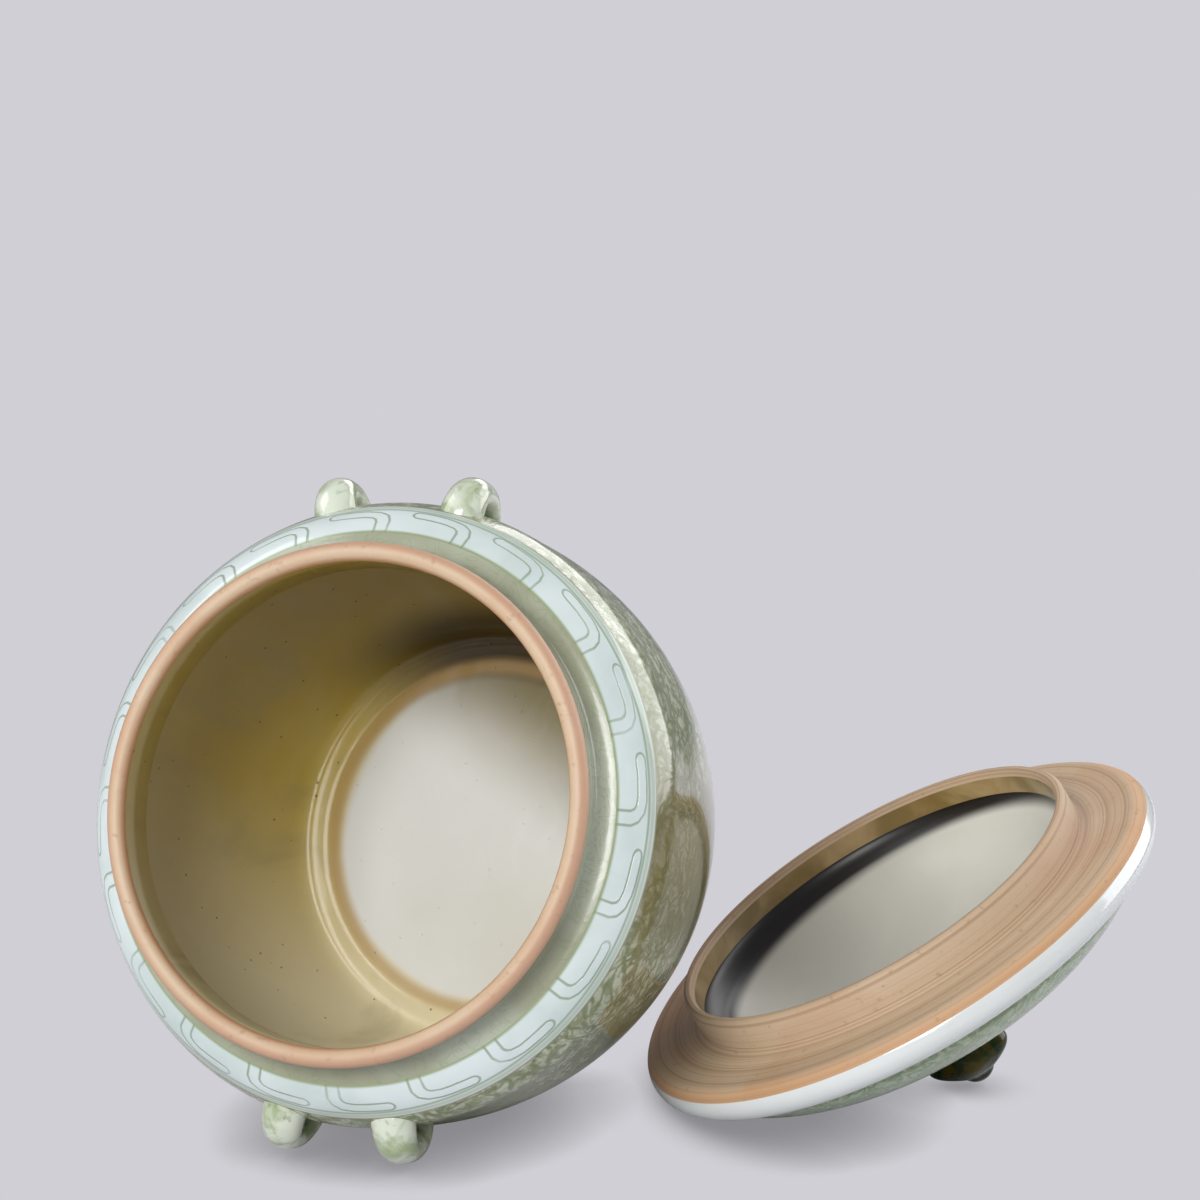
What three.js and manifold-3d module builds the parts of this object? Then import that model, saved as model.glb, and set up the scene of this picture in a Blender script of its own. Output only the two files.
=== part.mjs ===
// Covered lug jar of glazed stoneware, lying on its side with its lid upside down beside it.
// Millimetres, +Z up, floor at z = 0. Each potter's piece is one mesh: the thrown body, the neck
// collar, the trimmed foot ring, the four pulled lugs, and the lid's dome, locating flange and knob.
import * as THREE from "three";
import { mergeVertices } from "three/addons/utils/BufferGeometryUtils.js";
import Module from "manifold-3d";

const wasm = await Module();
wasm.setup();

// Joints and facets
const JOINT_GAP = 0.3; // clay joint between two luted pieces
const TURN_STEPS = 48; // facets round a thrown piece
const KNOB_STEPS = 36; // facets round the knob

// Jar, measured along its own axis from the mouth plane (depth) and from the axis (radius)
const JAR_HEIGHT = 172;
const RIM_RADIUS = 100;
const RIM_WALL = 7.5;
const NECK_WALL = 6.5;
const NECK_DEPTH = 16.5; // mouth plane to the neck joint
const NECK_BASE_RADIUS = 106;
const SHOULDER_RADIUS = 118.5; // where the shoulder band ends
const SHOULDER_DEPTH = 27;
const BELLY_RADIUS = 121.5;
const BELLY_DEPTH = 58;
const BODY_WALL = 8;
const BODY_BASE_RADIUS = 88; // outside of the wall where it meets the foot
const FLOOR_THICKNESS = 10;
const FOOT_HEIGHT = 9;
const FOOT_RADIUS = 86;
const FOOT_WALL = 10;

// Lugs
const LUG_HALF_ANGLE = 11; // degrees from the middle of the lower pair to each lug
const UPPER_HALF_ANGLE = 13; // the upper pair was set a little wider
const UPPER_SKEW = 2.5; // and a little round to the left
const LUG_WIDTH = 18; // along the rim
const LUG_LENGTH = 36; // along the jar's axis
const LUG_REACH = 137; // axis to the outside of the lug
const LUG_DEPTH = 45; // mouth plane to the middle of the lug
const LUG_THICKNESS = 6.5;
const LUG_ROUNDING = 2;
const LUG_ROOT = 6; // how far the lug's outline runs into the wall before it is cut to it

// Lid, measured up from its seat plane
const FLANGE_CLEARANCE = 3; // between the flange and the mouth, on the radius
const FLANGE_WALL = 4.5;
const FLANGE_HEIGHT = 15;
const SEAT_OVERHANG = 18.5; // brim beyond the rim
const BRIM_THICKNESS = 15;
const BRIM_STEP = 3; // height of the step between the brim and the dome
const DOME_RADIUS = 107;
const DOME_HEIGHT = 31; // dome above the brim
const LID_WALL = 7;
const KNOB_NECK_RADIUS = 9;
const KNOB_BULGE_RADIUS = 16;
const KNOB_TIP_RADIUS = 8;
const KNOB_HEIGHT = 36;

// Where the lid lies, from the jar's mouth centre
const LID_ASIDE = 169;
const LID_BEHIND = 166;
const LID_TURN = 30; // degrees, the way the lid leans, from straight at the jar towards its mouth side

const degrees = (a) => (a * Math.PI) / 180;

function clay(colour, roughness) {
  return new THREE.MeshStandardMaterial({ color: colour, roughness, metalness: 0 });
}

const glazeMaterial = clay("#8f9478", 0.15);
const bandMaterial = clay("#c5cfcd", 0.18);
const lugMaterial = clay("#bcc3a6", 0.15);
const bareMaterial = clay("#cdb399", 0.75);
const domeMaterial = clay("#8a9a80", 0.15);
const knobMaterial = clay("#3c4522", 0.12);

// A solid of revolution about Z from an anticlockwise outline of (radius, height) points.
function thrown(points, steps) {
  const geometry = new THREE.LatheGeometry(points, steps).rotateX(Math.PI / 2);
  return closed(geometry);
}

function closed(geometry) {
  geometry.deleteAttribute("normal");
  geometry.deleteAttribute("uv");
  return mergeVertices(geometry, 1e-3);
}

function solidOf(geometry) {
  return new wasm.Manifold(
    new wasm.Mesh({
      numProp: 3,
      vertProperties: new Float32Array(geometry.attributes.position.array),
      triVerts: new Uint32Array(geometry.index.array),
    }),
  );
}

function geometryOf(solid) {
  const mesh = solid.getMesh();
  const geometry = new THREE.BufferGeometry();
  geometry.setAttribute("position", new THREE.BufferAttribute(mesh.vertProperties, 3));
  geometry.setIndex(new THREE.BufferAttribute(mesh.triVerts, 1));
  return geometry;
}

function named(name, geometry, material) {
  geometry.computeVertexNormals();
  const mesh = new THREE.Mesh(geometry, material);
  mesh.name = name;
  return mesh;
}

const at = (radius, depth) => new THREE.Vector2(radius, JAR_HEIGHT - depth);

// The body's outside from the foot joint up to the neck joint.
function bodyOutside() {
  const start = at(BODY_BASE_RADIUS, JAR_HEIGHT - FOOT_HEIGHT);
  const belly = at(BELLY_RADIUS, BELLY_DEPTH);
  const shoulder = at(SHOULDER_RADIUS, SHOULDER_DEPTH);
  const neck = at(NECK_BASE_RADIUS, NECK_DEPTH);
  const lower = new THREE.CubicBezierCurve(
    start,
    new THREE.Vector2(start.x + 18, start.y + 22),
    new THREE.Vector2(belly.x, belly.y - 42),
    belly,
  );
  const upper = new THREE.CubicBezierCurve(
    belly,
    new THREE.Vector2(belly.x, belly.y + 22),
    new THREE.Vector2(shoulder.x + 5, shoulder.y - 12),
    shoulder,
  );
  const band = new THREE.QuadraticBezierCurve(
    shoulder,
    new THREE.Vector2(shoulder.x - 4, shoulder.y + 7),
    neck,
  );
  return [
    ...lower.getPoints(9),
    ...upper.getPoints(6).slice(1),
    ...band.getPoints(3).slice(1),
  ];
}

// Points of the outside moved in by the wall, square to the outline.
function movedIn(points, wall) {
  return points.map((p, i) => {
    const before = points[Math.max(i - 1, 0)];
    const after = points[Math.min(i + 1, points.length - 1)];
    const along = new THREE.Vector2().subVectors(after, before).normalize();
    return new THREE.Vector2(p.x - along.y * wall, p.y + along.x * wall);
  });
}

function jarBody() {
  const outside = bodyOutside();
  const floorHeight = FOOT_HEIGHT + FLOOR_THICKNESS;
  const neckInside = RIM_RADIUS - RIM_WALL;
  const top = outside[outside.length - 1];
  const inside = movedIn(outside, BODY_WALL).filter(
    (p) => p.y > floorHeight + BODY_WALL && p.y < top.y - BODY_WALL,
  );
  const wallFoot = inside[0];
  return thrown(
    [
      new THREE.Vector2(0, FOOT_HEIGHT),
      ...outside,
      new THREE.Vector2(neckInside, top.y),
      ...inside.reverse(),
      new THREE.Vector2(wallFoot.x - BODY_WALL, floorHeight),
      new THREE.Vector2(0, floorHeight),
    ],
    TURN_STEPS,
  );
}

function neckCollar() {
  const base = JAR_HEIGHT - NECK_DEPTH + JOINT_GAP;
  const inside = RIM_RADIUS - RIM_WALL;
  const neckOutside = inside + NECK_WALL;
  const lip = RIM_WALL / 2;
  const fillet = new THREE.QuadraticBezierCurve(
    new THREE.Vector2(NECK_BASE_RADIUS, base),
    new THREE.Vector2(neckOutside, base + 1),
    new THREE.Vector2(neckOutside, base + 5),
  );
  const lipArc = [0, 45, 90, 135, 180].map(
    (a) =>
      new THREE.Vector2(
        inside + lip + lip * Math.cos(degrees(a)),
        JAR_HEIGHT - lip + lip * Math.sin(degrees(a)),
      ),
  );
  const outline = [new THREE.Vector2(inside, base), ...fillet.getPoints(4), ...lipArc];
  outline.push(outline[0].clone());
  return thrown(outline, TURN_STEPS);
}

function footRing() {
  const top = FOOT_HEIGHT - JOINT_GAP;
  const chamfer = 1.5;
  const inner = FOOT_RADIUS - FOOT_WALL;
  const outline = [
    new THREE.Vector2(inner, 0),
    new THREE.Vector2(FOOT_RADIUS - chamfer, 0),
    new THREE.Vector2(FOOT_RADIUS, chamfer),
    new THREE.Vector2(FOOT_RADIUS, top),
    new THREE.Vector2(inner - 2, top),
    new THREE.Vector2(inner, 0),
  ];
  return thrown(outline, TURN_STEPS);
}

// The body swollen by the joint gap, to cut the lugs to the wall.
function lugSeat() {
  const outside = movedIn(bodyOutside(), -JOINT_GAP);
  return solidOf(
    thrown(
      [
        new THREE.Vector2(0, outside[0].y),
        ...outside,
        new THREE.Vector2(0, outside[outside.length - 1].y),
      ],
      TURN_STEPS,
    ),
  );
}

// A lug is an arch along the axis with a cord hole across it, and well rounded edges.
function lug(seat) {
  const root = SHOULDER_RADIUS - LUG_ROOT;
  const half = LUG_LENGTH / 2 - LUG_ROUNDING;
  const rise = LUG_REACH - LUG_ROUNDING - root;
  const strap = LUG_THICKNESS - 2 * LUG_ROUNDING;
  const shape = new THREE.Shape();
  shape.moveTo(root, -half);
  shape.absellipse(root, 0, rise, half, -Math.PI / 2, Math.PI / 2, false);
  shape.lineTo(root, half - strap);
  shape.absellipse(root, 0, rise - strap, half - strap, Math.PI / 2, -Math.PI / 2, true);
  shape.closePath();
  const geometry = new THREE.ExtrudeGeometry(shape, {
    depth: LUG_WIDTH - 2 * LUG_ROUNDING,
    bevelThickness: LUG_ROUNDING,
    bevelSize: LUG_ROUNDING,
    bevelSegments: 2,
    curveSegments: 10,
  });
  geometry.translate(0, 0, -(LUG_WIDTH / 2 - LUG_ROUNDING));
  geometry.rotateX(Math.PI / 2);
  geometry.translate(0, 0, JAR_HEIGHT - LUG_DEPTH);
  return geometryOf(solidOf(closed(geometry)).subtract(seat));
}

function lidDome() {
  const bore = RIM_RADIUS - RIM_WALL;
  const flangeOutside = bore - FLANGE_CLEARANCE;
  const flangeInside = flangeOutside - FLANGE_WALL;
  const brim = RIM_RADIUS + SEAT_OVERHANG;
  const edge = BRIM_THICKNESS / 2;
  const brimArc = [-90, -60, -30, 0, 30, 60, 90].map(
    (a) =>
      new THREE.Vector2(
        brim - edge + edge * Math.cos(degrees(a)),
        edge + edge * Math.sin(degrees(a)),
      ),
  );
  const domeTop = BRIM_THICKNESS + DOME_HEIGHT;
  const domeStart = new THREE.Vector2(DOME_RADIUS, BRIM_THICKNESS + BRIM_STEP);
  const dome = new THREE.CubicBezierCurve(
    domeStart,
    new THREE.Vector2(DOME_RADIUS * 0.8, domeTop - 6),
    new THREE.Vector2(DOME_RADIUS * 0.45, domeTop),
    new THREE.Vector2(KNOB_NECK_RADIUS, domeTop),
  );
  const domePoints = dome.getPoints(9);
  const inside = movedIn(domePoints, LID_WALL).filter((p) => p.x < flangeInside && p.x > 12);
  return thrown(
    [
      new THREE.Vector2(0, domeTop - LID_WALL),
      ...inside.reverse(),
      new THREE.Vector2(flangeInside, JOINT_GAP),
      ...brimArc,
      new THREE.Vector2(DOME_RADIUS + 1, BRIM_THICKNESS),
      ...domePoints,
      new THREE.Vector2(0, domeTop),
    ],
    TURN_STEPS,
  );
}

function lidFlange() {
  const outside = RIM_RADIUS - RIM_WALL - FLANGE_CLEARANCE;
  const inside = outside - FLANGE_WALL;
  const outline = [
    new THREE.Vector2(inside, -FLANGE_HEIGHT + 1.5),
    new THREE.Vector2(inside + 1.2, -FLANGE_HEIGHT),
    new THREE.Vector2(outside - 1.2, -FLANGE_HEIGHT),
    new THREE.Vector2(outside, -FLANGE_HEIGHT + 1.5),
    new THREE.Vector2(outside, 0),
    new THREE.Vector2(inside, 0),
    new THREE.Vector2(inside, -FLANGE_HEIGHT + 1.5),
  ];
  return thrown(outline, TURN_STEPS);
}

function lidKnob() {
  const base = BRIM_THICKNESS + DOME_HEIGHT + JOINT_GAP;
  const bulgeHeight = KNOB_HEIGHT * 0.4;
  const tipHeight = KNOB_HEIGHT - KNOB_TIP_RADIUS;
  const tip = [0, 30, 60, 90].map(
    (a) =>
      new THREE.Vector2(
        KNOB_TIP_RADIUS * Math.cos(degrees(a)),
        base + tipHeight + KNOB_TIP_RADIUS * Math.sin(degrees(a)),
      ),
  );
  tip[3].x = 0;
  const swell = new THREE.SplineCurve([
    new THREE.Vector2(KNOB_NECK_RADIUS, base),
    new THREE.Vector2(KNOB_NECK_RADIUS + 1, base + 4),
    new THREE.Vector2(KNOB_BULGE_RADIUS, base + bulgeHeight),
    new THREE.Vector2(KNOB_TIP_RADIUS, base + tipHeight - 3),
  ]);
  return thrown([new THREE.Vector2(0, base), ...swell.getPoints(8), ...tip], KNOB_STEPS);
}

// Jar, built standing and then laid down
const jar = new THREE.Group();
jar.add(named("jar_body", jarBody(), glazeMaterial));
jar.add(named("neck_collar", neckCollar(), bandMaterial));
jar.add(named("foot_ring", footRing(), bareMaterial));
const seat = lugSeat();
const lugAngles = {
  lug_upper_left: 90 + UPPER_SKEW + UPPER_HALF_ANGLE,
  lug_upper_right: 90 + UPPER_SKEW - UPPER_HALF_ANGLE,
  lug_lower_left: 270 - LUG_HALF_ANGLE,
  lug_lower_right: 270 + LUG_HALF_ANGLE,
};
for (const [name, angle] of Object.entries(lugAngles)) {
  const mesh = named(name, lug(seat), lugMaterial);
  mesh.rotation.z = degrees(angle);
  jar.add(mesh);
}

// The jar rests on its two lower lugs and on the belly: the pitch where both are as low.
function pitchOnLugs() {
  const outside = bodyOutside();
  const lugHeight = JAR_HEIGHT - LUG_DEPTH;
  const lugRadius = LUG_REACH * Math.cos(degrees(LUG_HALF_ANGLE));
  let low = 0;
  let high = degrees(45);
  for (let i = 0; i < 40; i++) {
    const pitch = (low + high) / 2;
    const reach = (radius, height) => radius * Math.cos(pitch) - height * Math.sin(pitch);
    const body = Math.max(...outside.map((p) => reach(p.x, p.y)));
    if (reach(lugRadius, lugHeight) > body) low = pitch;
    else high = pitch;
  }
  return low;
}
const pitch = pitchOnLugs();
jar.rotation.x = Math.PI / 2 - pitch;

// Lid, built the right way up and then laid on its knob and its brim
const lid = new THREE.Group();
lid.add(named("lid_dome", lidDome(), domeMaterial));
lid.add(named("lid_flange", lidFlange(), bareMaterial));
lid.add(named("lid_knob", lidKnob(), knobMaterial));
const knobTop = BRIM_THICKNESS + DOME_HEIGHT + JOINT_GAP + KNOB_HEIGHT;
const tipCentre = knobTop - KNOB_TIP_RADIUS;
const edgeCentre = new THREE.Vector2(
  RIM_RADIUS + SEAT_OVERHANG - BRIM_THICKNESS / 2,
  BRIM_THICKNESS / 2,
);
const edgeRadius = BRIM_THICKNESS / 2;
const span = Math.hypot(edgeCentre.x, tipCentre - edgeCentre.y);
const lean =
  Math.atan2(tipCentre - edgeCentre.y, edgeCentre.x) -
  Math.asin((edgeRadius - KNOB_TIP_RADIUS) / span);

const object = new THREE.Group();
object.add(jar, lid);

const lidTilt = new THREE.Quaternion().setFromAxisAngle(
  new THREE.Vector3(-Math.sin(degrees(LID_TURN)), Math.cos(degrees(LID_TURN)), 0),
  -lean,
);
const upsideDown = new THREE.Quaternion().setFromAxisAngle(new THREE.Vector3(1, 0, 0), Math.PI);
lid.quaternion.copy(lidTilt).multiply(upsideDown);

function lowest(group) {
  group.updateMatrixWorld(true);
  return new THREE.Box3().setFromObject(group, true).min.z;
}
jar.position.z -= lowest(jar);
const mouth = new THREE.Vector3(0, 0, JAR_HEIGHT).applyMatrix4(jar.matrixWorld);
lid.position.set(mouth.x + LID_ASIDE, mouth.y + LID_BEHIND, 0);
lid.position.z -= lowest(lid);

// The origin is the middle of the box's underside
object.updateMatrixWorld(true);
const box = new THREE.Box3().setFromObject(object, true);
const middle = box.getCenter(new THREE.Vector3());
jar.position.add(new THREE.Vector3(-middle.x, -middle.y, -box.min.z));
lid.position.add(new THREE.Vector3(-middle.x, -middle.y, -box.min.z));

export default object;
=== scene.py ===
import math

import bpy
import numpy as np
from mathutils import Matrix, Vector


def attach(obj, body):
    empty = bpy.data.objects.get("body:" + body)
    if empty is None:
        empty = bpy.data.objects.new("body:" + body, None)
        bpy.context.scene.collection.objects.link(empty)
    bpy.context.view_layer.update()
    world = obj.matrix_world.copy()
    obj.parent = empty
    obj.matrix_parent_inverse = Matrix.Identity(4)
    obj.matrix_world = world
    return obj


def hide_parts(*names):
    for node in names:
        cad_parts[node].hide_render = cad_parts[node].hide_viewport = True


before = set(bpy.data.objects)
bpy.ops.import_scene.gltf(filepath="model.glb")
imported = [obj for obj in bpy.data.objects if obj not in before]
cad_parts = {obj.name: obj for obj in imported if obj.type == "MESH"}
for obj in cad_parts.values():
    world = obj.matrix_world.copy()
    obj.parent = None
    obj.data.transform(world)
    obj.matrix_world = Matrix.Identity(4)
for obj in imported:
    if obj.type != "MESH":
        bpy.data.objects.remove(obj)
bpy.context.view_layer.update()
MM = 0.001

# Jar sizes in millimetres, from its foot (height) and its axis (radius)
HEIGHT = 172
RIM_RADIUS = 100
RIM_WALL = 7.5
NECK_WALL = 6.5
NECK_DEPTH = 16.5
NECK_BASE_RADIUS = 106
SHOULDER_RADIUS = 118.5
SHOULDER_DEPTH = 27
BELLY_RADIUS = 121.5
BELLY_DEPTH = 58
BODY_WALL = 8
BODY_BASE_RADIUS = 88
FLOOR_HEIGHT = 19
FOOT_HEIGHT = 9
FOOT_RADIUS = 86
FOOT_WALL = 10
BAND_REPEATS = 20  # hook motifs round the shoulder
HOOK_HALF_WIDTH = 2.7

# Lugs
LUG_ANGLES = {
    "lug_upper_left": 105.5,
    "lug_upper_right": 79.5,
    "lug_lower_left": 259.0,
    "lug_lower_right": 281.0,
}
LUG_DEPTH = 45
LUG_WIDTH = 18
LUG_REACH = 136.9
LUG_LENGTH = 36
LUG_FRONT_THICKNESS = 15
LUG_BACK_THICKNESS = 10
LUG_BACK_WIDTH = 13
LUG_BACK_DROP = 5
LUG_SQUARENESS = 0.8

# Lid, from its seat plane
FLANGE_RADIUS = 89.5
FLANGE_WALL = 4.5
FLANGE_HEIGHT = 15
BRIM_RADIUS = 118
BRIM_THICKNESS = 15
BRIM_STEP = 3
DOME_RADIUS = 107
DOME_HEIGHT = 31
LID_WALL = 7
KNOB_NECK_RADIUS = 9
KNOB_BULGE_RADIUS = 19.5
KNOB_TIP_RADIUS = 8
KNOB_HEIGHT = 36
KNOB_BULGE_HEIGHT = 21
KNOB_LOBES = 5
TURN_STEPS = 288

# Camera: focal length in pixels of a 1200-pixel frame, and its place from the jar's mouth
FOCAL_PIXELS = 3000
FRAME_PIXELS = 1200
SENSOR_MM = 36
CAMERA_PITCH = 8.7066
CAMERA_HEADING = -21.1387
MOUTH_IN_CAMERA = Vector((-99.1, 75.7, 1132.6)) * MM  # right, down, forward


def srgb(r, g, b):
    """Linear colour from 8-bit screen values."""
    def linear(c):
        c = c / 255
        return c / 12.92 if c <= 0.04045 else ((c + 0.055) / 1.055) ** 2.4
    return (linear(r), linear(g), linear(b), 1.0)


# Places of the two lathe axes, read from the frame

def vertices_of(node):
    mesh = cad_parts[node].data
    points = np.empty(len(mesh.vertices) * 3)
    mesh.vertices.foreach_get("co", points)
    return np.unique(points.reshape(-1, 3).round(6), axis=0)


def axis_frame(low_node, high_node, base_node, base_is_top):
    """Matrix of the axis that runs through two turned nodes, with its zero at an end of base_node."""
    low = vertices_of(low_node).mean(axis=0)
    high = vertices_of(high_node).mean(axis=0)
    z = Vector(high - low).normalized()
    x = (Vector((1, 0, 0)) - z * z.x).normalized()
    y = z.cross(x)
    along = vertices_of(base_node) @ np.array(z)
    zero = along.max() if base_is_top else along.min()
    origin = Vector(low) + z * (zero - float(np.dot(low, np.array(z))))
    return Matrix.Translation(origin) @ Matrix((x, y, z)).transposed().to_4x4()


JAR = axis_frame("foot_ring", "neck_collar", "foot_ring", False)
LID = axis_frame("lid_flange", "lid_knob", "lid_flange", True)


# Outlines

def bezier(a, b, c, d, count):
    t = np.linspace(0, 1, count + 1)[:, None]
    a, b, c, d = (np.array(p, float) for p in (a, b, c, d))
    return (1 - t) ** 3 * a + 3 * (1 - t) ** 2 * t * b + 3 * (1 - t) * t ** 2 * c + t ** 3 * d


def bow(a, b, c, count):
    """A curve from a to c that leans on b."""
    t = np.linspace(0, 1, count + 1)[:, None]
    a, b, c = (np.array(p, float) for p in (a, b, c))
    return (1 - t) ** 2 * a + 2 * (1 - t) * t * b + t ** 2 * c


def arc(cx, cy, radius, start, end, count):
    t = np.radians(np.linspace(start, end, count + 1))
    return np.stack([cx + radius * np.cos(t), cy + radius * np.sin(t)], 1)


def moved_in(points, wall):
    along = np.gradient(points, axis=0)
    along /= np.linalg.norm(along, axis=1)[:, None]
    return points + wall * np.stack([-along[:, 1], along[:, 0]], 1)


def set_down(obj, place, body):
    """Moves a mesh made about its own axis to its place, keeping the axis coordinates for its glaze."""
    mesh = obj.data
    local = np.empty(len(mesh.vertices) * 3)
    mesh.vertices.foreach_get("co", local)
    axis_place = mesh.attributes.new("axis_place", "FLOAT_VECTOR", "POINT")
    axis_place.data.foreach_set("vector", local)
    mesh.transform(place)
    mesh.update()
    bpy.context.collection.objects.link(obj)
    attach(obj, body)


def turned(name, zones, materials, steps=TURN_STEPS):
    """Turns zones, a list of (material slot, points), round the axis into one closed mesh with metre UVs."""
    rows, slots = [], []
    for slot, points in zones:
        for p in points:
            if rows and np.hypot(*(rows[-1] - p)) < 1e-4:
                continue
            rows.append(np.array(p, float))
            slots.append(slot)
    rows = np.array(rows)
    run = np.concatenate([[0], np.cumsum(np.hypot(*np.diff(rows, axis=0).T))])
    turn = np.linspace(0, 2 * math.pi, steps, endpoint=False)
    verts, index = [], []
    for r, z in rows:
        if r < 1e-4:
            index.append([len(verts)] * steps)
            verts.append((0, 0, z * MM))
        else:
            index.append(list(range(len(verts), len(verts) + steps)))
            verts += [(r * MM * math.cos(a), r * MM * math.sin(a), z * MM) for a in turn]
    faces, uvs, face_slots = [], [], []
    count = len(rows)
    last = count if rows[0][0] > 1e-4 else count - 1
    for i in range(last):
        j = (i + 1) % count
        v0, v1 = run[i], run[j] if j else run[i] + 0.1
        for k in range(steps):
            n = (k + 1) % steps
            corners = [(index[i][k], k, v0), (index[i][n], k + 1, v0),
                       (index[j][n], k + 1, v1), (index[j][k], k, v1)]
            seen, face, uv = set(), [], []
            for vertex, u, v in corners:
                if vertex in seen:
                    continue
                seen.add(vertex)
                face.append(vertex)
                uv.append((u / steps, v * MM))
            if len(face) > 2:
                faces.append(face)
                uvs += uv
                face_slots.append(slots[j] if j else slots[i])
    mesh = bpy.data.meshes.new(name)
    mesh.from_pydata(verts, [], faces)
    layer = mesh.uv_layers.new(name="turned")
    layer.data.foreach_set("uv", np.array(uvs).ravel())
    for m in materials:
        mesh.materials.append(m)
    mesh.polygons.foreach_set("material_index", face_slots)
    mesh.polygons.foreach_set("use_smooth", [True] * len(faces))
    return bpy.data.objects.new(name, mesh)


# Node helpers

class Nodes:
    """Short ways to write a material's node tree."""

    def __init__(self, name):
        self.material = bpy.data.materials.new(name)
        self.material.use_nodes = True
        self.tree = self.material.node_tree
        self.shader = self.tree.nodes["Principled BSDF"]

    def add(self, kind, inputs=None, **settings):
        node = self.tree.nodes.new(kind)
        for key, value in settings.items():
            setattr(node, key, value)
        for key, value in (inputs or {}).items():
            self.put(node.inputs[key], value)
        return node

    def put(self, socket, value):
        if isinstance(value, bpy.types.NodeSocket):
            self.tree.links.new(value, socket)
        elif value is not None:
            socket.default_value = value

    def math(self, operation, a, b=None, c=None):
        node = self.add("ShaderNodeMath", operation=operation)
        for socket, value in zip(node.inputs, (a, b, c)):
            self.put(socket, value)
        return node.outputs[0]

    def vector(self, operation, a, b=None):
        node = self.add("ShaderNodeVectorMath", operation=operation)
        self.put(node.inputs[0], a)
        self.put(node.inputs[3 if operation == "SCALE" else 1], b)
        return node.outputs[1 if operation in ("LENGTH", "DOT_PRODUCT") else 0]

    def mix(self, factor, a, b):
        node = self.add("ShaderNodeMix", data_type="RGBA")
        self.put(node.inputs[0], factor)
        self.put(node.inputs[6], a)
        self.put(node.inputs[7], b)
        return node.outputs[2]

    def step(self, value, low, high, top=1.0):
        """0 below low, top above high, smooth between."""
        node = self.add("ShaderNodeMapRange", interpolation_type="SMOOTHSTEP")
        for key, v in zip(range(5), (value, low, high, 0.0, top)):
            self.put(node.inputs[key], v)
        return node.outputs[0]

    def noise(self, scale, detail=3.0, distortion=0.0, where=None, stretch=(1, 1, 1)):
        where = where or self.place()
        if stretch != (1, 1, 1):
            where = self.vector("MULTIPLY", where, stretch)
        node = self.add("ShaderNodeTexNoise", {"Vector": where, "Scale": scale, "Detail": detail,
                                               "Distortion": distortion})
        return node.outputs[0]

    def place(self):
        return self.add("ShaderNodeAttribute", attribute_name="axis_place").outputs["Vector"]

    def turned_uv(self):
        node = self.add("ShaderNodeUVMap", uv_map="turned")
        parts = self.add("ShaderNodeSeparateXYZ", {0: node.outputs[0]})
        return parts.outputs[0], parts.outputs[1]

    def split(self, vector):
        return self.add("ShaderNodeSeparateXYZ", {0: vector}).outputs

    def ramp(self, value, stops):
        node = self.add("ShaderNodeValToRGB", {0: value})
        elements = node.color_ramp.elements
        while len(elements) < len(stops):
            elements.new(0.5)
        for element, (position, colour) in zip(elements, stops):
            element.position = position
            element.color = colour
        return node.outputs[0]

    def bump(self, height, strength, distance=0.001, normal=None):
        node = self.add("ShaderNodeBump", {"Height": height, "Strength": strength, "Distance": distance})
        self.put(node.inputs["Normal"], normal)
        return node.outputs[0]

    def finish(self, colour, roughness, normal=None, coat=0.0, ior=1.5):
        self.put(self.shader.inputs["Base Color"], colour)
        self.put(self.shader.inputs["Roughness"], roughness)
        self.put(self.shader.inputs["Normal"], normal)
        self.shader.inputs["IOR"].default_value = ior
        self.shader.inputs["Coat Weight"].default_value = coat
        self.shader.inputs["Coat Roughness"].default_value = 0.06
        return self.material


# Colours
CLAY = srgb(186, 162, 134)
CLAY_PINK = srgb(180, 146, 116)
CLAY_DARK = srgb(142, 110, 78)
CELADON = srgb(199, 209, 208)
CELADON_SHADE = srgb(178, 192, 188)
LINE_GREEN = srgb(132, 150, 128)
STRIPE_GREEN = srgb(128, 142, 96)
NECK_GREEN = srgb(138, 140, 116)
OLIVE_DARK = srgb(98, 108, 66)
OLIVE = srgb(132, 140, 100)
BODY_PALE = srgb(182, 188, 164)
INSIDE_OLIVE = srgb(178, 154, 66)
INSIDE_SHADE_DARK = srgb(128, 104, 34)
INSIDE_REFLECTION_GREY = srgb(236, 230, 206)
FLOOR_PALE = srgb(206, 206, 202)
FLOOR_BROWN = srgb(166, 136, 86)
WHITE_GLAZE = srgb(208, 212, 210)
DOME_GREEN = srgb(96, 118, 72)
DOME_PALE = srgb(154, 172, 138)
KNOB_GREEN = srgb(10, 38, 2)
KNOB_OLIVE = srgb(76, 62, 2)
BACKGROUND = srgb(208, 207, 213)


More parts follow.
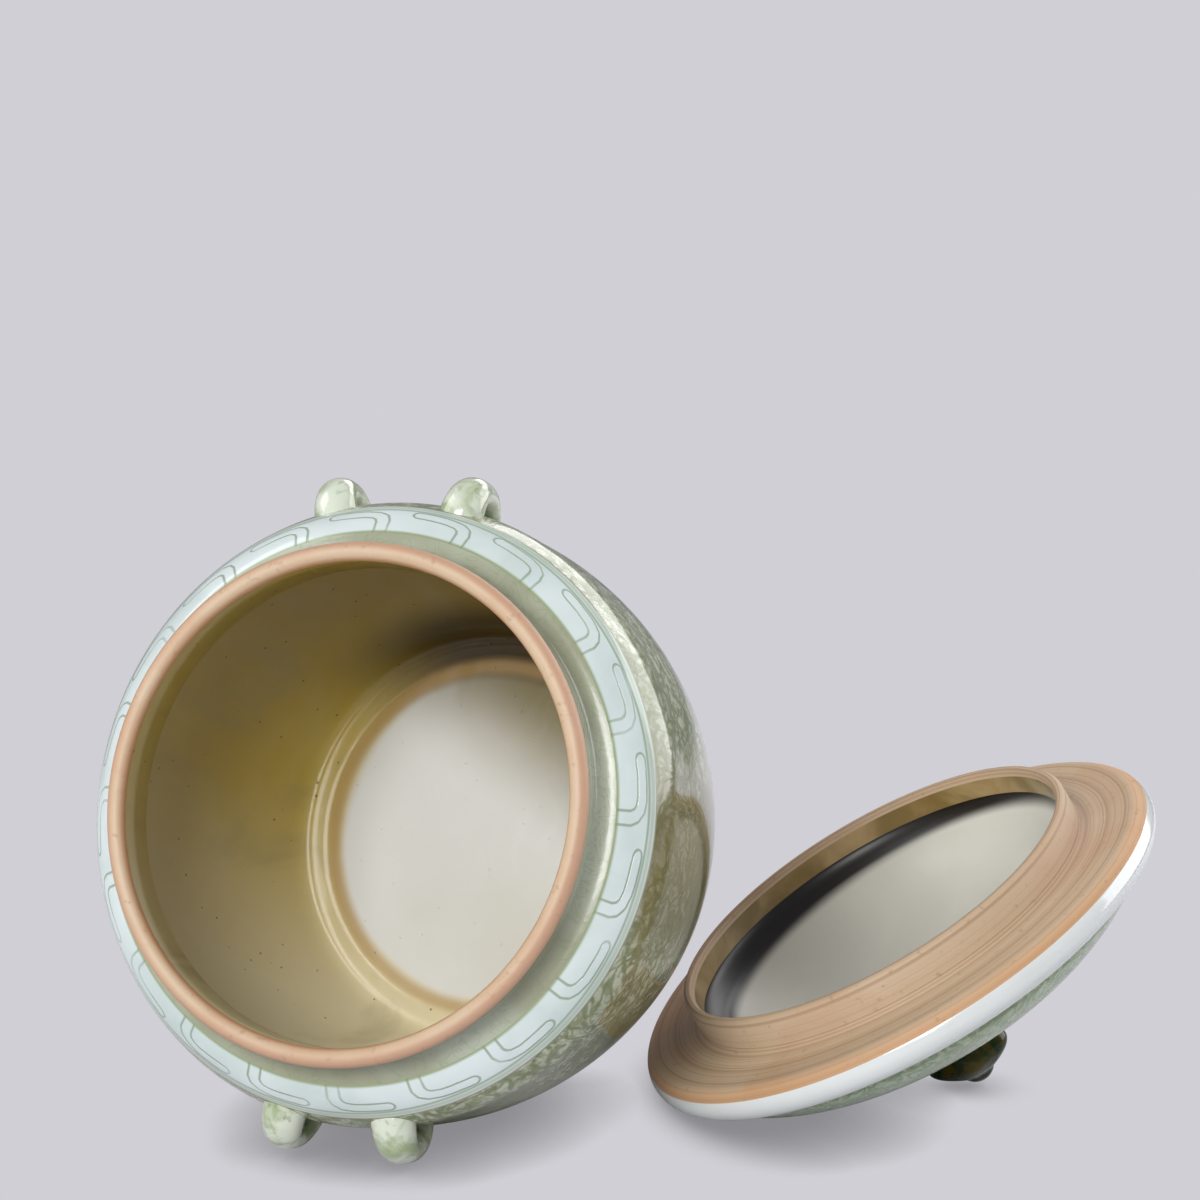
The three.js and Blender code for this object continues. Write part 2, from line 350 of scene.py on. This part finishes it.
def bare_clay(name="bare_clay"):
    n = Nodes(name)
    rings = n.split(n.place())
    radius = n.math("SQRT", n.math("ADD", n.math("POWER", rings[0], 2.0), n.math("POWER", rings[1], 2.0)))
    turning = n.add("ShaderNodeTexNoise", {"Scale": 900.0, "Detail": 2.0}, noise_dimensions="1D")
    n.put(turning.inputs["W"], n.math("ADD", radius, n.math("MULTIPLY", rings[2], 0.7)))
    grain = n.noise(260.0, 4.0)
    patches = n.noise(18.0, 3.0, 0.6)
    colour = n.mix(n.step(patches, 0.42, 0.68, 0.7), CLAY, CLAY_PINK)
    broad = n.add("ShaderNodeTexNoise", {"Scale": 210.0, "Detail": 3.0, "W": radius}, noise_dimensions="1D")
    colour = n.mix(n.step(broad.outputs[0], 0.45, 0.7, 0.5), colour, CLAY_DARK)
    colour = n.mix(n.step(turning.outputs[0], 0.5, 0.72, 0.5), colour, CLAY_DARK)
    edge = n.step(n.math("ADD", radius, n.math("MULTIPLY", patches, 0.006)), 0.1145, 0.118, 0.45)
    colour = n.mix(edge, colour, srgb(200, 146, 96))
    colour = n.mix(n.step(grain, 0.62, 0.75, 0.5), colour, CLAY_DARK)
    normal = n.bump(turning.outputs[0], 0.35, 0.0006)
    normal = n.bump(grain, 0.15, 0.0005, normal)
    return n.finish(colour, 0.62, normal)


def hook_line(n, u, v, band_low, band_high):
    """Distance in millimetres to the hook outline that repeats round the shoulder band."""
    repeats = n.math("MULTIPLY", n.math("MULTIPLY", u, -1.0), float(BAND_REPEATS))
    cell = n.math("FRACT", n.math("ADD", repeats, float(BAND_REPEATS)))
    length = 2 * math.pi * 111 / BAND_REPEATS
    height = band_high - band_low
    x = n.math("MULTIPLY", cell, length)
    y = n.math("SUBTRACT", n.math("MULTIPLY", v, 1000.0), band_low)
    y = n.math("SUBTRACT", height, y)
    wobble = n.math("MULTIPLY", n.math("SUBTRACT", n.noise(60.0, 2.0), 0.5), 1.1)
    point = n.add("ShaderNodeCombineXYZ", {0: n.math("ADD", x, wobble), 1: n.math("ADD", y, wobble)}).outputs[0]
    tall = 1.5  # the strokes stand closer across the band than along it
    path = [(0.88, -0.4), (0.88, 0.42), (0.85, 0.6), (0.78, 0.72), (0.66, 0.78), (0.28, 0.8)]
    point = n.vector("MULTIPLY", point, (1, tall, 1))
    nearest = None
    for (ax, ay), (bx, by) in zip(path[:-1], path[1:]):
        a = Vector((ax * length, ay * height * tall, 0))
        along = Vector((bx * length, by * height * tall, 0)) - a
        offset = n.vector("SUBTRACT", point, tuple(a))
        share = n.math("MULTIPLY", n.vector("DOT_PRODUCT", offset, tuple(along)), 1 / along.length_squared)
        share = n.math("MINIMUM", n.math("MAXIMUM", share, 0.0), 1.0)
        step = n.add("ShaderNodeVectorMath", operation="SCALE")
        step.inputs[0].default_value = tuple(along)
        n.put(step.inputs[3], share)
        away = n.vector("LENGTH", n.vector("SUBTRACT", offset, step.outputs[0]))
        nearest = away if nearest is None else n.math("MINIMUM", nearest, away)
    nearest = n.math("ABSOLUTE", n.math("SUBTRACT", nearest, HOOK_HALF_WIDTH))
    return nearest


def line_at(n, value, middle, half, soft=0.3):
    """1 within half of middle, fading over soft."""
    away = n.math("ABSOLUTE", n.math("SUBTRACT", value, middle))
    return n.math("SUBTRACT", 1.0, n.step(away, max(half - soft, 0.0), half + soft))


def shoulder_band(edge_v, neck_v):
    """Pale blue-green band with its hooks; v runs from the shoulder edge up to the neck base."""
    n = Nodes("jar_band")
    u, v = n.turned_uv()
    mm = n.math("MULTIPLY", v, 1000.0)
    clouds = n.noise(22.0, 4.0, 0.5)
    colour = n.mix(n.step(clouds, 0.35, 0.7, 0.8), CELADON, CELADON_SHADE)
    low = edge_v + 3.9
    distance = hook_line(n, u, v, low, neck_v - 0.6)
    fade = n.step(n.noise(40.0, 3.0), 0.3, 0.55, 0.55)
    line = n.math("SUBTRACT", 1.0, n.step(distance, 0.2, 0.75))
    colour = n.mix(n.math("MULTIPLY", line, n.math("ADD", fade, 0.35)), colour, LINE_GREEN)
    stripe = line_at(n, mm, low - 0.2, 0.5)
    colour = n.mix(n.math("MULTIPLY", stripe, 0.8), colour, LINE_GREEN)
    wide = line_at(n, mm, edge_v + 2.0, 0.8, 0.6)
    colour = n.mix(n.math("MULTIPLY", wide, 0.55), colour, srgb(150, 164, 132))
    brown = line_at(n, mm, edge_v + 0.2, 0.45)
    colour = n.mix(n.math("MULTIPLY", brown, 0.8), colour, srgb(116, 106, 70))
    neck = line_at(n, mm, neck_v, 1.0, 0.7)
    colour = n.mix(n.math("MULTIPLY", neck, 0.9), colour, STRIPE_GREEN)
    normal = n.bump(n.math("MULTIPLY", line, -1.0), 0.5, 0.0005)
    normal = n.bump(clouds, 0.2, 0.002, normal)
    return n.finish(colour, 0.16, normal, coat=0.5)


def scroll_glaze(name, pale, green, dark, density=1.0, side_shade_colour=None):
    """Dense painted foliage: curling strokes of two greens, broken up, under a clear glaze."""
    n = Nodes(name)
    where = n.place()
    curl = n.add("ShaderNodeTexNoise", {"Vector": where, "Scale": 38.0, "Detail": 2.0, "Distortion": 1.6})
    bent = n.vector("ADD", where, n.vector("SCALE", curl.outputs[1], 0.035))
    strokes = n.add("ShaderNodeTexVoronoi", {"Vector": bent, "Scale": 95.0}, feature="DISTANCE_TO_EDGE")
    vein = n.math("SUBTRACT", 1.0, n.step(strokes.outputs[0], 0.04, 0.2))
    leaf = n.noise(120.0, 4.0, 2.2)
    cloud = n.noise(20.0, 3.0, 0.8)
    colour = n.mix(n.step(leaf, 0.42, 0.58, 0.9 * density), pale, green)
    colour = n.mix(n.math("MULTIPLY", vein, 0.75), colour, dark)
    colour = n.mix(n.step(n.noise(300.0, 3.0), 0.55, 0.72, 0.6), colour, pale)
    colour = n.mix(n.step(cloud, 0.42, 0.72, 0.65), colour, dark)
    if side_shade_colour:
        # Painted shade: a darker olive-brown patch laid on the body's right flank, near mid height.
        x, y, z = n.split(where)
        side = n.step(n.math("ADD", x, n.math("MULTIPLY", cloud, 0.02)), 0.116, 0.128)
        height = n.math("ABSOLUTE", n.math("ADD", y, 0.012))
        side = n.math("MULTIPLY", side, n.math("SUBTRACT", 1.0, n.step(height, 0.02, 0.055)))
        colour = n.mix(n.math("MULTIPLY", side, 0.7), colour, side_shade_colour)
    normal = n.bump(vein, 0.08, 0.0006)
    normal = n.bump(leaf, 0.05, 0.0006, normal)
    return n.finish(colour, 0.2, normal, coat=0.5)


def neck_glaze():
    n = Nodes("jar_neck")
    swirl = n.noise(70.0, 2.0, 2.5)
    colour = n.mix(n.step(n.noise(16.0, 3.0), 0.35, 0.65, 0.7), NECK_GREEN, srgb(172, 180, 164))
    scroll = n.math("SUBTRACT", 1.0, n.step(n.math("ABSOLUTE", n.math("SUBTRACT", swirl, 0.5)), 0.0, 0.035))
    colour = n.mix(n.math("MULTIPLY", scroll, 0.25), colour, srgb(104, 128, 84))
    return n.finish(colour, 0.24, n.bump(swirl, 0.12, 0.001), coat=0.2)


def lip_clay():
    n = Nodes("jar_lip")
    x, y, z = n.split(n.place())
    radius = n.math("SQRT", n.math("ADD", n.math("POWER", x, 2.0), n.math("POWER", y, 2.0)))
    grain = n.noise(300.0, 4.0)
    patches = n.noise(24.0, 3.0, 0.8)
    colour = n.mix(n.step(patches, 0.4, 0.65, 0.6), CLAY, CLAY_PINK)
    outer = n.step(radius, (RIM_RADIUS - 4.0) * MM, (RIM_RADIUS - 1.4) * MM, 0.8)
    colour = n.mix(outer, colour, srgb(180, 140, 114))
    inner = n.math("SUBTRACT", 1.0, n.step(radius, (RIM_RADIUS - RIM_WALL) * MM,
                                           (RIM_RADIUS - RIM_WALL + 1.6) * MM))
    colour = n.mix(n.math("MULTIPLY", inner, 0.7), colour, srgb(176, 122, 78))
    colour = n.mix(n.step(grain, 0.6, 0.75, 0.4), colour, CLAY_DARK)
    return n.finish(colour, 0.5, n.bump(grain, 0.2, 0.0006))


def inside_glaze():
    """Olive-brown wall with a painted grey reflection low down, painted shade under the upper side and a painted
    shadow by the floor towards the upper right, pin-holed, with a pale floor.
    """
    n = Nodes("jar_inside")
    x, y, z = n.split(n.place())
    radius = n.math("SQRT", n.math("ADD", n.math("POWER", x, 2.0), n.math("POWER", y, 2.0)))
    clouds = n.noise(14.0, 4.0, 0.6)
    run = n.noise(10.0, 4.0, 0.8, stretch=(3.0, 3.0, 0.7))
    wall = n.mix(n.step(clouds, 0.35, 0.7), INSIDE_OLIVE, srgb(182, 164, 94))
    # Painted reflection: the wall turns paler and greyer towards its low side.
    wall = n.mix(n.step(y, -0.1, 0.03, 1.0), n.mix(0.6, wall, INSIDE_REFLECTION_GREY), wall)
    # Painted shade: the wall darkens towards its upper side.
    wall = n.mix(n.step(y, 0.02, 0.11, 0.75), wall, INSIDE_SHADE_DARK)
    wall = n.mix(n.step(run, 0.52, 0.75, 0.4), wall, srgb(150, 136, 92))
    # Painted shadow: near-black shade on the wall just above the floor, towards the upper right.
    upper_right = n.math("ADD", y, n.math("MULTIPLY", x, 0.6))
    corner_shadow = n.math("SUBTRACT", 1.0, n.step(z, 0.024, 0.052))
    corner_shadow = n.math("MULTIPLY", corner_shadow, n.step(upper_right, 0.0, 0.07, 0.92))
    wall = n.mix(corner_shadow, wall, srgb(44, 30, 6))
    pits = n.add("ShaderNodeTexVoronoi", {"Vector": n.place(), "Scale": 130.0})
    pit = n.math("SUBTRACT", 1.0, n.step(pits.outputs[0], 0.03, 0.09))
    wall = n.mix(n.math("MULTIPLY", pit, 0.7), wall, srgb(40, 28, 10))
    centre = n.mix(n.step(n.noise(12.0, 3.0), 0.4, 0.7, 0.5), FLOOR_PALE, srgb(196, 194, 182))
    ring = n.step(n.math("ADD", radius, n.math("MULTIPLY", n.math("SUBTRACT", clouds, 0.5), 0.01)),
                  0.066, 0.074)
    brown = line_at(n, n.math("MULTIPLY", radius, 1000.0), 73.0, 3.0, 2.5)
    # Painted shadow: the floor disc turns olive-brown towards its upper right.
    centre = n.mix(n.step(upper_right, 0.01, 0.075, 0.92), centre, srgb(112, 100, 54))
    floor = n.mix(ring, centre, wall)
    floor = n.mix(n.math("MULTIPLY", brown, 0.75), floor, FLOOR_BROWN)
    low = n.math("SUBTRACT", 1.0, n.step(z, (FLOOR_HEIGHT + 6) * MM, (FLOOR_HEIGHT + 12) * MM))
    colour = n.mix(low, wall, floor)
    normal = n.bump(run, 0.1, 0.004)
    normal = n.bump(n.math("MULTIPLY", pit, -1.0), 0.4, 0.0006, normal)
    return n.finish(colour, 0.24, normal, coat=0.1, ior=1.32)


def white_glaze():
    n = Nodes("lid_brim_glaze")
    x, y, z = n.split(n.place())
    mm = n.math("MULTIPLY", z, 1000.0)
    clouds = n.noise(20.0, 3.0)
    colour = n.mix(n.step(clouds, 0.4, 0.7, 0.6), WHITE_GLAZE, srgb(200, 206, 200))
    colour = n.mix(n.math("MULTIPLY", line_at(n, mm, BRIM_THICKNESS, 0.7), 0.85), colour, srgb(92, 96, 76))
    low = n.math("SUBTRACT", 1.0, n.step(mm, 0.2, 1.8))
    colour = n.mix(n.math("MULTIPLY", low, 0.55), colour, srgb(200, 158, 120))
    return n.finish(colour, 0.16, n.bump(clouds, 0.15, 0.002), coat=0.5)


def knob_glaze():
    n = Nodes("knob_glaze")
    clouds = n.noise(60.0, 4.0, 1.0)
    colour = n.mix(n.step(clouds, 0.42, 0.62), KNOB_GREEN, KNOB_OLIVE)
    colour = n.mix(n.step(n.noise(170.0, 3.0), 0.62, 0.78, 0.4), colour, srgb(92, 86, 34))
    return n.finish(colour, 0.16, n.bump(clouds, 0.3, 0.001), ior=1.32)


def lug_glaze():
    n = Nodes("lug_glaze")
    clouds = n.noise(55.0, 4.0, 1.2)
    colour = n.mix(n.step(clouds, 0.42, 0.64, 0.75), srgb(198, 205, 188), srgb(124, 142, 88))
    colour = n.mix(n.step(n.noise(150.0, 4.0, 1.5), 0.57, 0.72, 0.45), colour, srgb(98, 110, 62))
    return n.finish(colour, 0.16, n.bump(clouds, 0.25, 0.0015), coat=0.6)


# Jar
def jar_outline():
    start = (BODY_BASE_RADIUS, FOOT_HEIGHT)
    belly = (BELLY_RADIUS, HEIGHT - BELLY_DEPTH)
    shoulder = (SHOULDER_RADIUS, HEIGHT - SHOULDER_DEPTH)
    neck = (NECK_BASE_RADIUS, HEIGHT - NECK_DEPTH)
    lower = bezier(start, (start[0] + 18, start[1] + 22), (belly[0], belly[1] - 42), belly, 40)
    upper = bezier(belly, (belly[0], belly[1] + 22), (shoulder[0] + 5, shoulder[1] - 12), shoulder, 20)
    band = bow(shoulder, (shoulder[0] - 4, shoulder[1] + 7), neck, 16)
    return lower, upper, band


def build_jar():
    lower, upper, band = jar_outline()
    inside_radius = RIM_RADIUS - RIM_WALL
    neck_outside = inside_radius + NECK_WALL
    base = HEIGHT - NECK_DEPTH
    lip = RIM_WALL / 2
    fillet = bow((NECK_BASE_RADIUS, base), (neck_outside, base + 1), (neck_outside, base + 5), 8)
    neck_top = [(neck_outside, HEIGHT - lip - 3.0)]
    lip_arc = arc(inside_radius + lip, HEIGHT - lip, lip, 0, 180, 14)
    outside = np.concatenate([lower, upper[1:], band[1:]])
    wall = moved_in(outside, BODY_WALL)
    wall = wall[(wall[:, 1] > FLOOR_HEIGHT + 8) & (wall[:, 1] < base - BODY_WALL)][::-1]
    foot_of_wall = wall[-1]
    inner = FOOT_RADIUS - FOOT_WALL
    foot = [(0, FOOT_HEIGHT), (inner - 2, FOOT_HEIGHT), (inner, 0.6), (inner + 0.8, 0), (FOOT_RADIUS - 1.5, 0),
            (FOOT_RADIUS - 0.4, 0.5), (FOOT_RADIUS, 1.5), (FOOT_RADIUS, FOOT_HEIGHT - 0.5)]
    ledge_radius = foot_of_wall[0] - 5
    floor = bow(foot_of_wall, (foot_of_wall[0] - 4, FLOOR_HEIGHT + 2.5), (ledge_radius - 3, FLOOR_HEIGHT + 2.2), 10)
    ledge = [(ledge_radius - 6, FLOOR_HEIGHT + 1.9), (ledge_radius - 8, FLOOR_HEIGHT + 0.5),
             (ledge_radius - 11, FLOOR_HEIGHT), (30, FLOOR_HEIGHT), (0, FLOOR_HEIGHT)]
    neck_inside = [(inside_radius, HEIGHT - lip - 2), (inside_radius, base - 4)]
    zones = [(0, foot), (1, lower), (1, upper[1:]), (2, band[1:]), (3, fillet[1:]), (3, neck_top),
             (4, lip_arc), (5, neck_inside), (5, wall), (5, floor[1:]), (5, ledge)]
    rows = np.concatenate([np.array(p, float).reshape(-1, 2) for _, p in zones])
    run = np.concatenate([[0], np.cumsum(np.hypot(*np.diff(rows, axis=0).T))])
    edge_row = len(foot) + len(lower) + len(upper) - 2
    edge_v = run[edge_row]
    neck_v = run[edge_row + len(band) - 1]
    materials = [
        bare_clay("foot_clay"),
        scroll_glaze("jar_body_glaze", BODY_PALE, OLIVE, OLIVE_DARK, side_shade_colour=srgb(96, 84, 34)),
        shoulder_band(edge_v, neck_v),
        neck_glaze(),
        lip_clay(),
        inside_glaze(),
    ]
    jar = turned("jar_dressed", zones, materials)
    set_down(jar, JAR, "jar")
    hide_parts("jar_body", "neck_collar", "foot_ring")
    return jar


def build_lug(node, material):
    """A rolled loop of clay: a thick arch along the jar's axis, swollen like a ball at its front end."""
    root = SHOULDER_RADIUS - 2
    turn = math.radians(LUG_ANGLES[node])
    radial = Vector((math.cos(turn), math.sin(turn), 0))
    sideways = Vector((-math.sin(turn), math.cos(turn), 0))
    steps, sides = 48, 32
    verts, faces = [], []
    for i in range(steps + 1):
        t = math.pi * i / steps - math.pi / 2
        front = 0.5 + 0.5 * math.sin(t)
        swell = front ** 2
        thick = LUG_BACK_THICKNESS + (LUG_FRONT_THICKNESS - LUG_BACK_THICKNESS) * swell
        wide = LUG_BACK_WIDTH + (LUG_WIDTH - LUG_BACK_WIDTH) * swell
        half = LUG_LENGTH / 2 - thick / 2
        rise = LUG_REACH - LUG_BACK_DROP * (1 - front) ** 2 - thick / 2 - root
        up = abs(math.cos(t)) ** LUG_SQUARENESS
        fore = math.copysign(abs(math.sin(t)) ** LUG_SQUARENESS, t)
        out = Vector((math.cos(t) / rise, math.sin(t) / half)).normalized()
        for k in range(sides):
            a = 2 * math.pi * k / sides
            across = wide / 2 * math.sin(a)
            depth = thick / 2 * math.cos(a)
            point = radial * (root + rise * up + out.x * depth) + sideways * across
            point.z = HEIGHT - LUG_DEPTH + half * fore + out.y * depth
            verts.append(tuple(point * MM))
    for i in range(steps):
        for k in range(sides):
            n = (k + 1) % sides
            faces.append((i * sides + k, i * sides + n, (i + 1) * sides + n, (i + 1) * sides + k))
    faces.append(tuple(range(sides))[::-1])
    faces.append(tuple(range(steps * sides, (steps + 1) * sides)))
    mesh = bpy.data.meshes.new(node + "_dressed")
    mesh.from_pydata(verts, [], faces)
    mesh.polygons.foreach_set("use_smooth", [True] * len(faces))
    mesh.materials.append(material)
    obj = bpy.data.objects.new(node + "_dressed", mesh)
    set_down(obj, JAR, "jar")
    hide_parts(node)
    return obj


def build_lid():
    inside = FLANGE_RADIUS - FLANGE_WALL
    edge = BRIM_THICKNESS / 2
    top = BRIM_THICKNESS + DOME_HEIGHT
    dome = bezier((DOME_RADIUS, BRIM_THICKNESS + BRIM_STEP), (DOME_RADIUS * 0.8, top - 6),
                  (DOME_RADIUS * 0.45, top), (KNOB_NECK_RADIUS, top), 40)
    dish = bezier((0, top - LID_WALL - 8), (inside * 0.5, top - LID_WALL - 8), (inside * 0.85, 12),
                  (inside - 7, 3.5), 24)
    groove = bow(dish[-1], (inside - 1, 0), (inside, -4), 8)
    wall = [(inside, -FLANGE_HEIGHT + 3.0)]
    lower = [(inside + 0.5, -FLANGE_HEIGHT + 1.0), (inside + 1.2, -FLANGE_HEIGHT + 0.1),
             (FLANGE_RADIUS - 1.2, -FLANGE_HEIGHT), (FLANGE_RADIUS, -FLANGE_HEIGHT + 1.5),
             (FLANGE_RADIUS, -1.5), (FLANGE_RADIUS + 0.6, 0.15), (BRIM_RADIUS - edge - 3, 0.1)]
    brim = arc(BRIM_RADIUS - edge, edge, edge, -90, 90, 24)
    bare, glazed = brim[:9], brim[9:]
    step = [(DOME_RADIUS + 2.5, BRIM_THICKNESS), (DOME_RADIUS + 0.8, BRIM_THICKNESS + 0.4)]
    zones = [(0, dish), (0, groove[1:]), (4, wall), (1, lower), (1, bare), (2, glazed), (2, step), (3, dome),
             (3, [(0, top)])]
    materials = [lid_inside(), bare_clay("lid_clay"), white_glaze(),
                 scroll_glaze("lid_dome_glaze", DOME_PALE, srgb(120, 144, 98), DOME_GREEN, 0.8),
                 lid_wall()]
    lid = turned("lid_dressed", zones, materials)
    set_down(lid, LID, "lid")
    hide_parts("lid_dome", "lid_flange")
    return lid


def lid_inside():
    n = Nodes("lid_inside")
    x, y, z = n.split(n.place())
    radius = n.math("SQRT", n.math("ADD", n.math("POWER", x, 2.0), n.math("POWER", y, 2.0)))
    clouds = n.noise(16.0, 3.0, 0.5)
    pale = n.mix(n.step(clouds, 0.4, 0.7, 0.6), srgb(194, 192, 182), srgb(206, 204, 194))
    # Painted shadow: a near-black band round the edge of the lid's inside, wider towards the left.
    rim_shadow = n.step(n.math("SUBTRACT", radius, n.math("MULTIPLY", x, 0.06)), 0.0775, 0.082)
    colour = n.mix(rim_shadow, pale, srgb(14, 8, 4))
    return n.finish(colour, 0.38, n.bump(clouds, 0.2, 0.002))


def lid_wall():
    n = Nodes("lid_wall_glaze")
    clouds = n.noise(30.0, 4.0, 0.8)
    colour = n.mix(n.step(clouds, 0.38, 0.66), srgb(122, 100, 54), srgb(164, 140, 98))
    return n.finish(colour, 0.3, n.bump(clouds, 0.2, 0.002), coat=0.3)


def build_knob():
    base = BRIM_THICKNESS + DOME_HEIGHT
    tip_height = KNOB_HEIGHT - KNOB_TIP_RADIUS
    bulge = (KNOB_BULGE_RADIUS - 0.5, base + KNOB_BULGE_HEIGHT)
    waist = bezier((KNOB_NECK_RADIUS + 2, base - 0.4), (KNOB_NECK_RADIUS - 2, base + 9),
                   (bulge[0], base + 12), bulge, 16)
    upper = bezier(bulge, (bulge[0], bulge[1] + 4), (12, base + 29), (7.25, base + 31.4), 12)
    tip = arc(0, base + tip_height, KNOB_TIP_RADIUS, 25, 90, 8)
    tip[-1][0] = 0
    zones = [(0, [(0, base - 0.4)]), (0, waist), (0, upper[1:]), (0, tip[1:])]
    knob = turned("knob_dressed", zones, [knob_glaze()], 96)
    for vertex in knob.data.vertices:
        radius = math.hypot(vertex.co.x, vertex.co.y)
        share = max(0.0, min(1.0, (radius / MM - KNOB_TIP_RADIUS) / 8))
        turn = math.atan2(vertex.co.y, vertex.co.x)
        dent = 1 - 0.06 * share * (1 - math.cos(KNOB_LOBES * turn))
        vertex.co.x *= dent
        vertex.co.y *= dent
    set_down(knob, LID, "lid")
    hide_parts("lid_knob")
    return knob


# Stage
def build_stage():
    bpy.ops.mesh.primitive_plane_add(size=30, location=(0, 0, 0))
    floor = bpy.context.object
    floor.name = "floor"
    material = bpy.data.materials.new("floor")
    material.use_nodes = True
    tree = material.node_tree
    tree.nodes.clear()
    out = tree.nodes.new("ShaderNodeOutputMaterial")
    occlusion = tree.nodes.new("ShaderNodeAmbientOcclusion")
    occlusion.inputs["Distance"].default_value = 0.03
    occlusion.samples = 16
    ramp = tree.nodes.new("ShaderNodeMapRange")
    ramp.inputs["From Min"].default_value = 0.1
    ramp.inputs["From Max"].default_value = 0.85
    ramp.inputs["To Min"].default_value = 0.4
    tree.links.new(occlusion.outputs["AO"], ramp.inputs["Value"])
    seen = tree.nodes.new("ShaderNodeEmission")
    shade = tree.nodes.new("ShaderNodeVectorMath")
    shade.operation = "SCALE"
    shade.inputs[0].default_value = BACKGROUND[:3]
    tree.links.new(ramp.outputs[0], shade.inputs[3])
    tree.links.new(shade.outputs[0], seen.inputs["Color"])
    lit = tree.nodes.new("ShaderNodeBsdfDiffuse")
    lit.inputs["Color"].default_value = BACKGROUND
    path = tree.nodes.new("ShaderNodeLightPath")
    mix = tree.nodes.new("ShaderNodeMixShader")
    tree.links.new(path.outputs["Is Camera Ray"], mix.inputs[0])
    tree.links.new(lit.outputs[0], mix.inputs[1])
    tree.links.new(seen.outputs[0], mix.inputs[2])
    tree.links.new(mix.outputs[0], out.inputs[0])
    floor.data.materials.append(material)

    world = bpy.data.worlds.new("studio")
    world.use_nodes = True
    bpy.context.scene.world = world
    nodes = world.node_tree.nodes
    links = world.node_tree.links
    background = nodes["Background"]
    path = nodes.new("ShaderNodeLightPath")
    strength = nodes.new("ShaderNodeMapRange")
    strength.inputs["To Min"].default_value = 0.45
    strength.inputs["To Max"].default_value = 1.0
    links.new(path.outputs["Is Camera Ray"], strength.inputs["Value"])
    background.inputs["Color"].default_value = BACKGROUND
    links.new(strength.outputs[0], background.inputs["Strength"])


def softbox(name, place, target, size, power):
    data = bpy.data.lights.new(name, "AREA")
    data.shape = "RECTANGLE"
    data.size, data.size_y = size
    data.energy = power
    lamp = bpy.data.objects.new(name, data)
    bpy.context.collection.objects.link(lamp)
    lamp.location = place
    lamp.rotation_euler = (Vector(target) - Vector(place)).to_track_quat("-Z", "Y").to_euler()


def build_lights():
    softbox("key", (-0.15, -1.9, 0.95), (-0.08, 0.0, 0.1), (1.1, 0.9), 38)
    softbox("left", (-1.5, -0.6, 1.3), (0, 0, 0.1), (1.0, 1.0), 9)
    softbox("right", (1.3, 1.0, 0.9), (0, 0, 0.12), (1.6, 1.5), 26)
    softbox("back", (0.2, 1.6, 1.3), (0, 0, 0.15), (1.4, 0.8), 10)


def build_camera():
    pitch = math.radians(CAMERA_PITCH)
    heading = math.radians(CAMERA_HEADING)
    forward = Vector((math.sin(heading) * math.cos(pitch), math.cos(heading) * math.cos(pitch), -math.sin(pitch)))
    right = Vector((math.cos(heading), -math.sin(heading), 0))
    down = forward.cross(right)
    mouth = JAR @ Vector((0, 0, HEIGHT * MM))
    offset = MOUTH_IN_CAMERA
    place = mouth - (right * offset.x + down * offset.y + forward * offset.z)
    data = bpy.data.cameras.new("camera")
    data.sensor_width = SENSOR_MM
    data.lens = SENSOR_MM * FOCAL_PIXELS / FRAME_PIXELS
    camera = bpy.data.objects.new("camera", data)
    bpy.context.collection.objects.link(camera)
    turn = Matrix((right, -down, -forward)).transposed().to_4x4()
    camera.matrix_world = Matrix.Translation(place) @ turn
    bpy.context.scene.camera = camera


build_jar()
lug_material = lug_glaze()
for lug_node in LUG_ANGLES:
    build_lug(lug_node, lug_material)
build_lid()
build_knob()
build_stage()
build_lights()
build_camera()
bpy.context.scene.view_settings.view_transform = "Standard"
